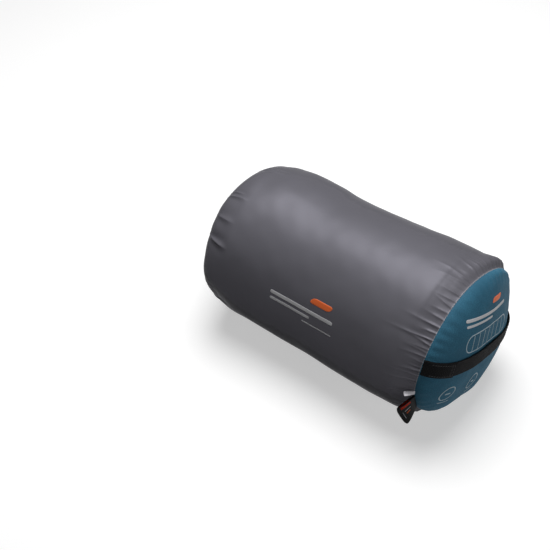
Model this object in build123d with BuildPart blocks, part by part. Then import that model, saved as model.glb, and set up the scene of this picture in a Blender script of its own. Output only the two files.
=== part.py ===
"""A stuffed drawstring sack for a sleeping bag, with a round end panel and a webbing handle across it.

The sack lies on its side on the floor: +X runs along it towards the end panel, +Z is up, and the origin is
the middle of the patch it rests on. Angles round the sack go from +Y towards +Z.
"""
import os
from math import atan2, cos, degrees, pi, radians, sin

from build123d import *

# ---- driving dimensions, millimetres and degrees ----
cloth = 0.8  # each cloth wall, drawn with the loft of its coating
soft_gap = 0.3  # between soft pieces that only lie on each other
sewn_gap = 0.1  # between layers that a seam holds together

seam_x = 165.0  # end seam, where the tube meets the round panel
seam_r = 99.0
seam_clear = 1.0  # the end seam's height off the floor
gather_back = 30.0  # behind the seam, where its gathers run out
gather_swell = 7.2  # how far the tube stands out past the seam's radius there
belly_back = 95.0
belly_swell = 5.4
waist_back = 190.0
waist_swell = 2.0
tube_length = 295.0  # from the seam to the rim, where the far end starts to round over
rim_swell = 4.5
crown_length = 51.0  # from the rim to the drawn-in mouth
mouth_r = 17.4  # hole that the drawn-in mouth leaves in the cloth

panel_bulge = 32.0
panel_fullness = 2.6  # 2 is an ellipse, more is flatter in the middle

turned_edge = 2.2  # how far inside the seam the raw edges turn back
seam_allowance = 12.0
bias_tape = 0.7
bias_reach = 7.0  # how far the bias tape covers the raw edges
side_tape = 0.8
side_tape_width = 9.0
side_tape_angle = -62.0  # the tube's own lengthwise seam

hem_pleats = 12
hem_reach = 16.0  # ruffle, from the drawn-in neck to its edge
hem_wall = 2.0  # two layers of cloth with the cord tunnel between them
hem_flare = 7.8  # how much wider the ruffle's edge is than its neck
hem_neck_wave = 0.7
hem_edge_wave = 3.2
hem_neck_fold_r = 1.0  # how round each pleat's fold is
hem_edge_fold_r = 1.4

eyelet_bore_r = 2.6
eyelet_barrel = 0.6
eyelet_flange_r = 5.0
eyelet_flange = 0.8
eyelet_margin = 2.4  # from the flange to the ruffle's edge

flap_r = 44.0

webbing = 1.6
webbing_width = 20.0
handle_tilt = -19.5
handle_sewn = 38.0  # length of each sewn-down end, measured across the panel

care_width = 5.0
care_length = 13.5
care_ribbon = 0.7
care_angle = -177.0
care_lean = 54.0  # from straight out towards the tube

badge_width = 25.0
badge_length = 27.0
badge_ribbon = 0.6
badge_angle = -166.0
badge_lean = 14.0

# ---- what follows from them ----
axis_height = seam_r + seam_clear  # the sack's axis above the floor
gather_x, gather_r = seam_x - gather_back, seam_r + gather_swell
belly_x, belly_r = seam_x - belly_back, seam_r + belly_swell
waist_x, waist_r = seam_x - waist_back, seam_r + waist_swell
rim_x, rim_r = seam_x - tube_length, seam_r + rim_swell
mouth_x = rim_x - crown_length
tube_end_x = seam_x - sewn_gap
tube_turn_r = seam_r - turned_edge
panel_turn_r = tube_turn_r - cloth - sewn_gap
raw_edge_x = seam_x - seam_allowance
hem_neck_r = mouth_r - cloth - soft_gap - hem_neck_wave
hem_edge_r = hem_neck_r + hem_flare
hem_slope = degrees(atan2(hem_flare, hem_reach))
eyelet_seat = hem_reach - eyelet_flange_r - eyelet_margin
axis_line = Axis((0, 0, axis_height), (1, 0, 0))


def side_plane(angle):
    """The half plane through the sack's axis at this angle: x along the sack, y straight out."""
    out = Vector(0, cos(radians(angle)), sin(radians(angle)))
    return Plane(origin=(0, 0, axis_height), x_dir=(1, 0, 0), z_dir=Vector(1, 0, 0).cross(out))


def barrel_line(inset):
    """The tube's outline from the end seam to the rim of the far end, this far under the outer face."""
    return Spline(
        (tube_end_x, seam_r - inset),
        (gather_x, gather_r - inset),
        (belly_x, belly_r - inset),
        (waist_x, waist_r - inset),
        (rim_x, rim_r - inset),
        tangents=((-1, 0.6), (-1, 0)),
    )


def crown_line(inset, end_inset):
    """The tube's outline round the far end, from its rim in to the mouth."""
    return Spline(
        (rim_x, rim_r - inset),
        (rim_x - 0.72 * crown_length + 0.7 * end_inset, 0.8 * rim_r - 0.7 * inset),
        (mouth_x + 0.065 * crown_length + end_inset, 0.5 * rim_r),
        (mouth_x + end_inset, mouth_r),
        tangents=((-1, 0), (0, -1)),
    )


def seam_strip(angle, width, inset, depth):
    """A strip under the tube's wall, all along the barrel, for the tape of the lengthwise seam."""
    half_turn = degrees(width / 2 / waist_r)
    with BuildPart() as form:
        with BuildSketch(side_plane(angle - half_turn)):
            with BuildLine():
                near = barrel_line(inset)
                far = barrel_line(inset + depth)
                Line(near @ 0, far @ 0)
                Line(near @ 1, far @ 1)
            make_face()
        revolve(axis=axis_line, revolution_arc=2 * half_turn)
    return form.part


def stuffed_tube(inset, end_inset):
    """The tube as a solid form, its underside pressed flat by the floor."""
    with BuildPart() as form:
        with BuildSketch(side_plane(90)):
            with BuildLine():
                barrel = barrel_line(inset)
                crown = crown_line(inset, end_inset)
                Polyline(crown @ 1, (mouth_x + end_inset, 0), (tube_end_x, 0), barrel @ 0)
            make_face()
        revolve(axis=axis_line)
        split(bisect_by=Plane.XY.offset(inset), keep=Keep.TOP)
    return form.part


def ring(x_from, x_to, r_in, r_out):
    """A plain ring round the sack's axis."""
    with BuildPart() as form:
        with BuildSketch(side_plane(90)):
            with Locations(((x_from + x_to) / 2, (r_in + r_out) / 2)):
                Rectangle(x_to - x_from, r_out - r_in)
        revolve(axis=axis_line)
    return form.part


def panel_x(r):
    """How far out the stuffed end panel stands at radius r."""
    return seam_x + panel_bulge * (1 - min(r / seam_r, 1) ** panel_fullness) ** 0.5


def panel_point(across, height):
    """A point above the panel's outer face by this height, at a signed distance across the panel."""
    step = 0.05
    low, high = max(abs(across) - step, 0), min(abs(across) + step, seam_r)
    along = Vector(high - low, panel_x(high) - panel_x(low)).normalized()
    r = abs(across) - along.Y * height
    return (r if across > 0 else -r), panel_x(abs(across)) + along.X * height


def panel_line(height, start, end, points=9):
    """The panel's section from start to end, lifted by height, its points closer together towards the seam."""
    turns = [radians(90) * (2 * i / (points - 1) - 1) for i in range(points)]
    if start * end >= 0:
        turns = [radians(90) * i / (points - 1) for i in range(points)]
        return [panel_point(start + (end - start) * sin(turn), height) for turn in turns]
    return [panel_point(end * sin(turn), height) for turn in turns]


def handle_stretch(low, high, start, end):
    """A stretch of webbing that lies along the panel, between these heights above it."""
    out = Vector(0, cos(radians(handle_tilt)), sin(radians(handle_tilt)))
    across = Plane(origin=(0, 0, axis_height), x_dir=out, z_dir=out.cross(Vector(1, 0, 0)))
    with BuildPart() as form:
        with BuildSketch(across):
            with BuildLine():
                under = Spline(*panel_line(low, start, end))
                over = Spline(*panel_line(high, start, end))
                Line(under @ 0, over @ 0)
                Line(under @ 1, over @ 1)
            make_face()
        extrude(amount=webbing_width / 2, both=True)
    return form.part


def folded_label(angle, lean, length, width, ribbon):
    """A ribbon folded in two, its cut ends caught in the end seam and its fold hanging free."""
    out = Vector(0, cos(radians(angle)), sin(radians(angle)))
    round_seam = Vector(0, -sin(radians(angle)), cos(radians(angle)))
    along = out * cos(radians(lean)) - Vector(1, 0, 0) * sin(radians(lean))
    root = Vector(seam_x + 2 * ribbon, 0, axis_height) + out * (seam_r + soft_gap + ribbon)
    between = 0.5 * ribbon
    thickness = 2 * ribbon + between
    with BuildPart() as form:
        with BuildSketch(Plane(origin=root, x_dir=along, z_dir=round_seam)):
            with Locations((length / 2, 0)):
                Rectangle(length, thickness)
            with Locations(((length - ribbon) / 2, 0)):
                Rectangle(length - ribbon, between, mode=Mode.SUBTRACT)
        extrude(amount=width / 2, both=True)
        fold = form.edges().filter_by(Axis(root, round_seam)).group_by(Axis(root, along))[-1]
        fillet(fold, radius=0.45 * thickness)
    return form.part


os.makedirs("parts", exist_ok=True)

# ---- body_shell: the tube of cloth, its end turned in at the seam and its far end drawn in to the mouth ----
with BuildPart() as body_shell:
    add(stuffed_tube(0, 0))
    add(stuffed_tube(cloth, cloth), mode=Mode.SUBTRACT)
    add(ring(mouth_x - cloth, mouth_x + 2 * cloth, 0, mouth_r), mode=Mode.SUBTRACT)
    add(ring(tube_end_x - cloth, tube_end_x, tube_turn_r - cloth, seam_r - cloth / 2))
    add(ring(raw_edge_x, tube_end_x, tube_turn_r - cloth, tube_turn_r))
body_shell.part.label = "body_shell"
export_step(body_shell.part, "parts/body_shell.step")

# ---- end_panel: the round panel, bulging with the load, its edge turned in beside the tube's ----
with BuildPart() as end_panel:
    with BuildSketch(side_plane(90)):
        with BuildLine():
            outer = Spline(*[(x, r) for r, x in panel_line(0, 0, seam_r)])
            inner = Spline(*[(x, r) for r, x in panel_line(-cloth, 0, seam_r - turned_edge)])
            Line(outer @ 0, inner @ 0)
            Polyline(
                inner @ 1,
                (seam_x + cloth, panel_turn_r - cloth),
                (raw_edge_x, panel_turn_r - cloth),
                (raw_edge_x, panel_turn_r),
                (seam_x, panel_turn_r),
                outer @ 1,
            )
        make_face()
    revolve(axis=axis_line)
end_panel.part.label = "end_panel"
export_step(end_panel.part, "parts/end_panel.step")

# ---- seam_binding: bias tape folded over the raw edges of the end seam, inside the sack ----
with BuildPart() as seam_binding:
    outer_r = tube_turn_r + sewn_gap + bias_tape
    inner_r = panel_turn_r - cloth - sewn_gap - bias_tape
    add(ring(raw_edge_x - sewn_gap - bias_tape, raw_edge_x + bias_reach, inner_r, outer_r))
    add(
        ring(raw_edge_x - sewn_gap, raw_edge_x + bias_reach, inner_r + bias_tape, outer_r - bias_tape),
        mode=Mode.SUBTRACT,
    )
seam_binding.part.label = "seam_binding"
export_step(seam_binding.part, "parts/seam_binding.step")

# ---- side_seam_tape: the strip that covers the raw edges of the tube's own lengthwise seam ----
end_clear = raw_edge_x - sewn_gap - bias_tape - soft_gap
with BuildPart() as side_seam_tape:
    add(seam_strip(side_tape_angle, side_tape_width, cloth + sewn_gap, side_tape))
    add(ring(end_clear, seam_x, 0, 2 * seam_r), mode=Mode.SUBTRACT)
side_seam_tape.part.label = "side_seam_tape"
export_step(side_seam_tape.part, "parts/side_seam_tape.step")


def pleated_loop(r, wave, fold_r):
    """A closed line round the mouth that folds in and out, but lies plain where the eyelet is."""
    points = []
    for i in range(2 * hem_pleats):
        turn = pi * i / hem_pleats
        fade = min(1, max(0, abs(turn - pi / 2) / radians(30) - 0.6))
        local_r = r + wave * fade * (1 if i % 2 else -1)
        points.append((local_r * cos(turn), local_r * sin(turn)))
    return FilletPolyline(*points, radius=fold_r, close=True)


def mouth_plane(reach):
    """The plane across the drawn-in mouth, this far out along its ruffle; y is up."""
    return Plane(origin=(mouth_x + cloth - reach, 0, axis_height), x_dir=(0, 1, 0), z_dir=(1, 0, 0))


# the eyelet sits square on the sloping wall of the ruffle, on top
eyelet_share = eyelet_seat / hem_reach
eyelet_r = hem_neck_r + hem_flare * eyelet_share
eyelet_out = Vector(sin(radians(hem_slope)), 0, cos(radians(hem_slope)))
eyelet_foot = Vector(mouth_x + cloth - eyelet_seat, 0, axis_height + eyelet_r)
eyelet_plane = Plane(origin=eyelet_foot, x_dir=(0, 1, 0), z_dir=eyelet_out)
wall_across = hem_wall * cos(radians(hem_slope))
ruffle_sag = eyelet_flange_r**2 / 2 / eyelet_r  # the wall's own curve under a flat ring
washer_top = -wall_across - ruffle_sag - soft_gap

# ---- mouth_hem: the tunnel for the cord, pleated up by the drawn-in mouth ----
with BuildPart() as mouth_hem:
    for inset, mode in ((0, Mode.ADD), (hem_wall, Mode.SUBTRACT)):
        with BuildSketch(mouth_plane(0)):
            with BuildLine():
                pleated_loop(hem_neck_r - inset, hem_neck_wave, hem_neck_fold_r)
            make_face()
        with BuildSketch(mouth_plane(hem_reach)):
            with BuildLine():
                pleated_loop(hem_edge_r - inset, hem_edge_wave, hem_edge_fold_r)
            make_face()
        loft(ruled=True, mode=mode)
    with BuildSketch(eyelet_plane):
        Circle(eyelet_bore_r + eyelet_barrel + sewn_gap)
    extrude(amount=eyelet_r / 2, both=True, mode=Mode.SUBTRACT)
mouth_hem.part.label = "mouth_hem"
export_step(mouth_hem.part, "parts/mouth_hem.step")

# ---- cord_eyelet and eyelet_washer: the metal ring that the cord runs out through, and its backing ----
with BuildPart() as cord_eyelet:
    with BuildSketch(eyelet_plane.offset(sewn_gap)):
        Circle(eyelet_flange_r)
    extrude(amount=eyelet_flange)
    fillet(cord_eyelet.edges().group_by(Axis(eyelet_foot, eyelet_out))[-1], radius=0.6 * eyelet_flange)
    with BuildSketch(eyelet_plane.offset(washer_top - eyelet_flange)):
        Circle(eyelet_bore_r + eyelet_barrel)
    extrude(amount=eyelet_flange + sewn_gap - washer_top)
    with BuildSketch(eyelet_plane):
        Circle(eyelet_bore_r)
    extrude(amount=eyelet_r / 2, both=True, mode=Mode.SUBTRACT)
cord_eyelet.part.label = "cord_eyelet"
export_step(cord_eyelet.part, "parts/cord_eyelet.step")

with BuildPart() as eyelet_washer:
    with BuildSketch(eyelet_plane.offset(washer_top)):
        Circle(eyelet_flange_r)
        Circle(eyelet_bore_r + eyelet_barrel + sewn_gap, mode=Mode.SUBTRACT)
    extrude(amount=-eyelet_flange)
eyelet_washer.part.label = "eyelet_washer"
export_step(eyelet_washer.part, "parts/eyelet_washer.step")

# ---- dust_flap: a round of cloth inside the mouth, which keeps dirt off the load ----
flap_top = cloth + soft_gap
with BuildPart() as dust_flap:
    add(stuffed_tube(flap_top, flap_top))
    add(stuffed_tube(flap_top + cloth, flap_top + cloth), mode=Mode.SUBTRACT)
    add(ring(mouth_x, rim_x, 0, flap_r), mode=Mode.INTERSECT)
dust_flap.part.label = "dust_flap"
export_step(dust_flap.part, "parts/dust_flap.step")

# ---- packed_roll: the rolled sleeping bag that fills the sack and gives it its shape ----
load_inset = cloth + soft_gap
load_end = flap_top + cloth + soft_gap
tape_room = cloth + sewn_gap + side_tape + soft_gap
with BuildPart() as packed_roll:
    add(stuffed_tube(load_inset, load_end))
    inner_r = panel_turn_r - cloth - bias_tape - sewn_gap - soft_gap
    add(ring(end_clear, seam_x, inner_r, 2 * seam_r), mode=Mode.SUBTRACT)
    with BuildSketch(side_plane(90)):
        with BuildLine():
            front = Spline(*[(x, r) for r, x in panel_line(-load_inset, 0, inner_r)])
            Polyline(front @ 1, (tube_end_x, inner_r), (tube_end_x, 0), front @ 0)
        make_face()
    revolve(axis=axis_line)
    groove = side_tape_width + 2 * soft_gap
    add(seam_strip(side_tape_angle, groove, 0, tape_room), mode=Mode.SUBTRACT)
packed_roll.part.label = "packed_roll"
export_step(packed_roll.part, "parts/packed_roll.step")

# ---- the handle: one length of webbing, doubled at its near end, sewn down at both ends of the panel ----
handle_free = seam_r - handle_sewn
with BuildPart() as handle_near_end:
    add(handle_stretch(soft_gap, soft_gap + 2 * webbing, -handle_free - soft_gap, -seam_r))
handle_near_end.part.label = "handle_near_end"
export_step(handle_near_end.part, "parts/handle_near_end.step")

with BuildPart() as handle_grip:
    add(handle_stretch(soft_gap, soft_gap + webbing, -handle_free, handle_free))
handle_grip.part.label = "handle_grip"
export_step(handle_grip.part, "parts/handle_grip.step")

with BuildPart() as handle_far_end:
    add(handle_stretch(soft_gap, soft_gap + webbing, handle_free + soft_gap, seam_r))
handle_far_end.part.label = "handle_far_end"
export_step(handle_far_end.part, "parts/handle_far_end.step")

# ---- the two labels caught in the end seam ----
with BuildPart() as care_label:
    add(folded_label(care_angle, care_lean, care_length, care_width, care_ribbon))
care_label.part.label = "care_label"
export_step(care_label.part, "parts/care_label.step")

with BuildPart() as woven_badge:
    add(folded_label(badge_angle, badge_lean, badge_length, badge_width, badge_ribbon))
woven_badge.part.label = "woven_badge"
export_step(woven_badge.part, "parts/woven_badge.step")
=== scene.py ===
import math
from random import Random

import bmesh
import bpy
import numpy as np
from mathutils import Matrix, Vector


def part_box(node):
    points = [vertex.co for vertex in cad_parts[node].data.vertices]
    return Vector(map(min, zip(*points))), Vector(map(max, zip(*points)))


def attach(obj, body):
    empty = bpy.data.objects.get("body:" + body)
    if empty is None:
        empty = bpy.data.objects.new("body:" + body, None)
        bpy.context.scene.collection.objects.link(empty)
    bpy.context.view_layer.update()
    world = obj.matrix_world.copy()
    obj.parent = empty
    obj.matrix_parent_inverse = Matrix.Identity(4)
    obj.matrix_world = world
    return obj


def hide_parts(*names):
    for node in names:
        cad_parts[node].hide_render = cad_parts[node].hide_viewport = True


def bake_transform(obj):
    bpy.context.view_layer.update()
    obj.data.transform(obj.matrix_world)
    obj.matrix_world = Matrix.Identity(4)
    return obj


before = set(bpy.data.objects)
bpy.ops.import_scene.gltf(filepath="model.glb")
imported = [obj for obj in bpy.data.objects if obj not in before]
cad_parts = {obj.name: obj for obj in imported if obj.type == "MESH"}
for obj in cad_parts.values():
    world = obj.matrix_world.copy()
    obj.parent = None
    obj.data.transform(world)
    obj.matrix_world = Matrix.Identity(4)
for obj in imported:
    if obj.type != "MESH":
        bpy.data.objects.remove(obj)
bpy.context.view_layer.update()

# ---- sizes, in metres and degrees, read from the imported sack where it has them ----
MM = 0.001
panel_low, panel_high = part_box("end_panel")
shell_low, shell_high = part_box("body_shell")
ruffle_low, ruffle_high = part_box("mouth_hem")
AXIS_Z = (panel_low.z + panel_high.z) / 2
SEAM_R = (panel_high.z - panel_low.z) / 2
SEAM_X = shell_high.x
MOUTH_X = shell_low.x
PANEL_BULGE = panel_high.x - SEAM_X
PANEL_FULLNESS = 2.6  # 2 is a round dome; more is flatter in the middle and squarer at its edge

# the tube's outline: how far behind the end seam, and how far outside the seam's radius, in millimetres
BARREL = ((0, -0.5), (6, 0.7), (14, 2.2), (24, 5.2), (34, 7.2), (60, 7.0), (95, 5.4), (140, 3.3),
          (190, 2.0), (245, 3.0), (280, 4.3), (295, 4.5))
CROWN_LENGTH = SEAM_X - BARREL[-1][0] * MM - MOUTH_X
CROWN_FULLNESS = 2.5
CROWN_ROWS = 400  # how many of the outline's last points lie on the crown
NECK_R = 15.6 * MM
RUFFLE_LENGTH = ruffle_high.x - ruffle_low.x
RUFFLE_EDGE_R = NECK_R + 7.8 * MM
MOUTH_FOLDS = 24
PRESS_DEPTH = 4 * MM  # how soft the edge of the flattened underside is

WEBBING_WIDTH = 20 * MM
WEBBING_THICK = 1.6 * MM
WEBBING_GAP = 0.3 * MM  # between the panel and the webbing's underside
HANDLE_TILT = -19.5  # the slant of its line across the panel
HANDLE_FREE = 61 * MM  # half the length that isn't sewn down
HANDLE_BOW = 5 * MM  # how far its far end is sewn above the straight line
HANDLE_DOUBLED = 69 * MM  # from the panel's middle to where the doubling of its near end begins
HANDLE_SLACK = 1.4 * MM  # how far its middle stands off the panel
HANDLE_LIFTS = 22 * MM  # half the length that lifts off as one

SIDE_SEAM_TURN = -62  # the angle round the sack at which the tube's lengthwise seam runs

# where the load fills the tube unevenly: place along x, its spread, angle round the sack, its spread,
# height. Lengths here and below are in millimetres and angles in degrees
SLUMPS = ((50, 95, 219, 40, 4.8), (50, 95, 321, 40, 4.5), (-85, 34, 48, 45, 3.4),
          (-140, 24, 65, 50, -2.6), (-162, 20, 125, 34, 2.6), (158, 15, 38, 36, 7.0),
          (157, 14, 220, 17, 4.4), (-134, 15, 201, 15, -3.0), (-62, 45, 207, 20, 2.0))
# where the end seam stands out of round: angle, spread, height, how far back the tube follows
SEAM_WAVES = ((250, 40, -4.2, 30), (188, 26, 1.8, 45), (76, 36, -3.2, 15), (25, 26, 2.2, 45))
# where the load pulls the seam back along the sack: angle, spread, how far
SEAM_PULLS = ((196, 46, 4.2), (52, 46, -4.4), (10, 26, 1.8), (250, 22, 2.6))
# hollows in the panel: place across and up from the axis, spread, depth
PANEL_HOLLOWS = ((-26, -86, 20, 2.6), (-4, -66, 16, -1.4), (60, 50, 36, 3.2),
                 (64, -52, 30, -2.6), (82, 14, 28, 1.6))


# ---------------------------------------------------------------- outlines
def smooth_line(knots):
    """A smooth line through the knots, ending level, with this many points from knot to knot."""
    per_span = 40
    p = np.array(knots, float)
    slope = np.gradient(p, axis=0)
    slope[0], slope[-1] = p[1] - p[0], (p[-1, 0] - p[-2, 0], 0)
    t = np.linspace(0, 1, per_span, endpoint=False)[:, None]
    spans = []
    for a, b, da, db in zip(p[:-1], p[1:], slope[:-1], slope[1:]):
        spans.append(
            a * (2 * t**3 - 3 * t**2 + 1) + da * (t**3 - 2 * t**2 + t)
            + b * (3 * t**2 - 2 * t**3) + db * (t**3 - t**2)
        )
    return np.vstack(spans + [p[-1:]])


def lengths_along(line):
    """How far along a line of points each one lies."""
    return np.concatenate([[0], np.cumsum(np.linalg.norm(np.diff(line, axis=0), axis=1))])


def tube_outline():
    """The tube's outline from the end seam to the drawn-in neck: x, radius, normal and length along it.

    The last value is the length at the far rim, where the barrel ends and the crown begins.
    """
    barrel = smooth_line(BARREL) * MM
    barrel = np.column_stack([SEAM_X - barrel[:, 0], SEAM_R + barrel[:, 1]])
    rim_x, rim_r = barrel[-1]
    neck_turn = math.acos((NECK_R / rim_r) ** (CROWN_FULLNESS / 2))
    t = np.linspace(0, neck_turn, CROWN_ROWS)[1:]
    crown = np.column_stack([
        rim_x - CROWN_LENGTH * np.sin(t) ** (2 / CROWN_FULLNESS),
        rim_r * np.cos(t) ** (2 / CROWN_FULLNESS),
    ])
    line = np.vstack([barrel, crown])
    along = lengths_along(line)
    way = np.gradient(line, along, axis=0)
    way /= np.linalg.norm(way, axis=1)[:, None]
    return line[:, 0], line[:, 1], way[:, 1], -way[:, 0], along, along[len(barrel) - 1]


OUT_X, OUT_R, OUT_NX, OUT_NR, OUT_BACK, RIM_BACK = tube_outline()
NECK_BACK = OUT_BACK[-1]


def outline_at(back):
    """The outline's x, its radius and its normal, this far along it from the end seam."""
    return [np.interp(back, OUT_BACK, values) for values in (OUT_X, OUT_R, OUT_NX, OUT_NR)]


def back_at(x):
    """How far along the outline from the end seam it passes this place."""
    return np.interp(-x, -OUT_X, OUT_BACK)


def round_axis(x, r, turn):
    """Points at this place along the sack, at this radius and at this angle round its axis."""
    return np.stack(np.broadcast_arrays(x, r * np.cos(turn), AXIS_Z + r * np.sin(turn)), -1)


def whole_turn(count):
    """Angles evenly spaced round the sack."""
    return np.linspace(0, 2 * math.pi, count, endpoint=False)


def turned(angle):
    """An angle brought into the half turn on each side of zero."""
    return (angle + math.pi) % (2 * math.pi) - math.pi


def soft_step(value, low, high):
    """From 0 at low to 1 at high, with level ends."""
    t = np.clip((value - low) / (high - low), 0, 1)
    return t * t * (3 - 2 * t)


def bump(value, middle, spread, power=2):
    """1 in the middle, falling away to nothing on both sides."""
    return np.exp(-((value - middle) / spread) ** power)


def side_bump(turn, angle, spread, power=2):
    """The same round the sack, with the angle and its spread in degrees."""
    return np.exp(-(turned(turn - math.radians(angle)) / math.radians(spread)) ** power)


def lumps(x, y, z, size, seed, waves=28):
    """A smooth uneven field between about -1 and 1, with bumps of this size."""
    rng = np.random.default_rng(seed)
    total = 0
    for _ in range(waves):
        way = rng.normal(size=3)
        way *= 2 * math.pi / size / np.linalg.norm(way) * rng.uniform(0.6, 1.3)
        total = total + np.sin(way[0] * x + way[1] * y + way[2] * z + rng.uniform(0, 2 * math.pi))
    return total * math.sqrt(2 / waves) * 0.6


def seam_radius(turn, back=0.0):
    """The end seam's radius, which the load pushes a little out of round. It evens out further back."""
    r = SEAM_R
    for angle, spread, height, fade in SEAM_WAVES:
        r = r + height * MM * side_bump(turn, angle, spread) * (1 - soft_step(back, 0, fade * MM))
    return r


def seam_pull(turn):
    """How far back along the sack the end seam lies."""
    back = 0 * turn
    for angle, spread, far in SEAM_PULLS:
        back = back + far * MM * side_bump(turn, angle, spread)
    return back


def slump(x, turn):
    """How far the load pushes the tube out of its even round form."""
    out = 0
    for place, spread, angle, wide, height in SLUMPS:
        near = np.exp(-np.abs(((x / MM) - place) / spread) ** 3)
        out = out + height * MM * near * side_bump(turn, angle, wide)
    return out


# ---------------------------------------------------------------- folds of the tube
def plan_gathers(seed, every, reach, deep, width):
    """Gathers round the tube: where each is, how far it reaches, how deep, wide and slanting it is.

    Each range is (least, most). One gather in five reaches half as far again.
    """
    rng, found, at = Random(seed), [], 0.0
    while at < 2 * math.pi * SEAM_R - every[0]:
        found.append((
            at / SEAM_R,
            rng.uniform(*reach) * (1.5 if rng.random() < 0.2 else 1),
            rng.uniform(*deep),
            rng.uniform(*width),
            rng.uniform(-0.16, 0.16),
        ))
        at += rng.uniform(*every)
    return found


SEAM_GATHERS = plan_gathers(5, every=(4 * MM, 11 * MM), reach=(18 * MM, 58 * MM),
                            deep=(1.1 * MM, 3.4 * MM), width=(1.1 * MM, 2.3 * MM))
# puckers that run over the far rim from the mouth: angle round the sack, reach, depth, width, slant
RIM_PUCKERS = tuple((math.radians(angle), reach * MM, deep * MM, wide * MM, slant)
                    for angle, reach, deep, wide, slant in (
    (148, 40, 4.4, 2.8, 0.06), (131, 37, 2.8, 3.6, 0.02), (113.5, 34, 2.6, 2.4, -0.06),
    (109, 27, 2.0, 1.6, 0.02), (75, 50, 1.6, 2.2, 0.05), (71.5, 40, 1.2, 1.5, 0.0),
    (44, 44, 2.2, 2.6, 0.08), (19, 36, 3.2, 3.0, -0.05), (-8, 52, 1.6, 2.0, 0.1),
    (-31, 38, 3.6, 3.2, -0.04), (-47, 46, 2.0, 2.2, 0.06), (-78, 34, 2.4, 2.8, 0.0),
    (-103, 48, 1.4, 2.4, -0.08), (-128, 36, 2.0, 2.6, 0.05), (-151, 42, 1.4, 2.4, -0.03),
    (-171, 33, 0.8, 3.0, 0.04)))


def gather_depth(gathers, away, turn, settle, fall=None):
    """How far the cloth stands out or in, this far from the edge that gathers it.

    Each gather is a sharp ridge with a trough on both sides. It rises to its full height over settle,
    and dies away evenly over its reach, or over its last stretch, fall, where that is given.
    """
    depth = 0
    for at, reach, deep, width, slant in gathers:
        across = SEAM_R * turned(turn - at) - slant * away
        fade = np.clip(1 - away / reach, 0, 1) ** 1.4 if fall is None else soft_step(reach - away, 0, fall)
        fade = fade * (0.45 + 0.55 * np.clip(away / settle, 0, 1))
        u = np.abs(across) / (width * (1 + 1.2 * np.clip(away / reach, 0, 1)))
        depth = depth + deep * fade * (0.95 * np.exp(-1.5 * u**1.3) - 0.6 * np.exp(-((u / 2.1) ** 2)))
    return depth


def away_from_eyelet(turn):
    """0 at the top of the mouth, where the cloth lies calm round the eyelet, and 1 from 45 degrees on."""
    return np.clip(np.abs(turned(turn - math.pi / 2)) / math.radians(30) - 0.5, 0, 1)


def mouth_fold(turn):
    """The folds that the drawn-in mouth presses into the cloth, from -1 in a crease to 1 on a ridge."""
    uneven = turn + 0.05 * np.sin(3 * turn + 1) + 0.022 * np.sin(8 * turn + 2)
    ridge = np.abs(np.sin(MOUTH_FOLDS / 2 * uneven)) ** 0.75
    return (2 * ridge - 1) * away_from_eyelet(turn) * (0.8 + 0.2 * np.sin(5 * turn + 0.7))


def tube_relief(back, turn, x, y, z):
    """All the folds, puckers and lumps of the tube, as its height over the plain outline."""
    from_neck = NECK_BACK - back
    crown = RIM_BACK - back
    # the gathers and the out-of-round form of the end seam, and the load's own slumps
    relief = gather_depth(SEAM_GATHERS, back, turn, 7 * MM) + slump(x, turn) * soft_step(back, 0, 9 * MM)
    relief = relief + seam_radius(turn, back) - SEAM_R
    # slow lumps of the load away from both ends, and a faint ripple of the cloth
    middle = soft_step(back, 20 * MM, 70 * MM) * soft_step(from_neck, 50 * MM, 110 * MM)
    relief = relief + 0.55 * MM * middle * lumps(x, y, z, 75 * MM, 3)
    relief = relief + 0.16 * MM * soft_step(back, 5 * MM, 40 * MM) * lumps(x, y, z, 24 * MM, 8)
    # puckers over the far rim, which start past it on the crown
    past_rim = np.clip(crown + 34 * MM, 0, None)
    pucker = gather_depth(RIM_PUCKERS, past_rim, turn, 12 * MM, 15 * MM)
    relief = relief + pucker * soft_step(crown, -60 * MM, -20 * MM)
    # the rim stands up unevenly, with a shallow groove past it on the crown
    edge = 0.6 + 0.4 * np.sin(3 * turn + 1.1) * np.sin(5 * turn)
    edge = edge * (1 - 0.9 * side_bump(turn, 115, 45, 4))
    relief = relief + edge * MM * (0.9 * bump(crown, 5 * MM, 9 * MM) - 1.4 * bump(crown, -14 * MM, 10 * MM))
    # on the near side the load stands square behind the rim, and lower down it fills the crown's corner
    reach = np.where(crown > 2 * MM, 26 * MM, 13 * MM)
    square = 2.4 * bump(crown, 2 * MM, reach) - 0.9 * bump(crown, -20 * MM, 9 * MM)
    relief = relief + side_bump(turn, 142, 24) * MM * square
    relief = relief + 3.4 * MM * side_bump(turn, 183, 20) * bump(crown, -30 * MM, 24 * MM)
    # folds that run into the drawn-in mouth
    strength = soft_step(-from_neck, -88 * MM, -20 * MM)
    relief = relief + strength * (1.5 * mouth_fold(turn) - 0.3) * MM
    # the lengthwise seam: a sunk line, puckered along both sides
    seam_way = SEAM_R * turned(turn - math.radians(SIDE_SEAM_TURN))
    pucker = 0.25 * np.sin(back * 2 * math.pi / (9 * MM)) + 0.1 * np.sin(back * 2 * math.pi / (5.3 * MM))
    relief = relief - 0.5 * MM * bump(seam_way, 0, 1.1 * MM)
    relief = relief + MM * pucker * bump(seam_way, 0, 5 * MM) * soft_step(from_neck, 0, 60 * MM)
    return relief


def press_flat(z):
    """Cloth that would reach below the floor lies on it instead."""
    return np.where(z < PRESS_DEPTH, PRESS_DEPTH * np.exp(np.minimum(z / PRESS_DEPTH - 1, 0)), z)


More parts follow.
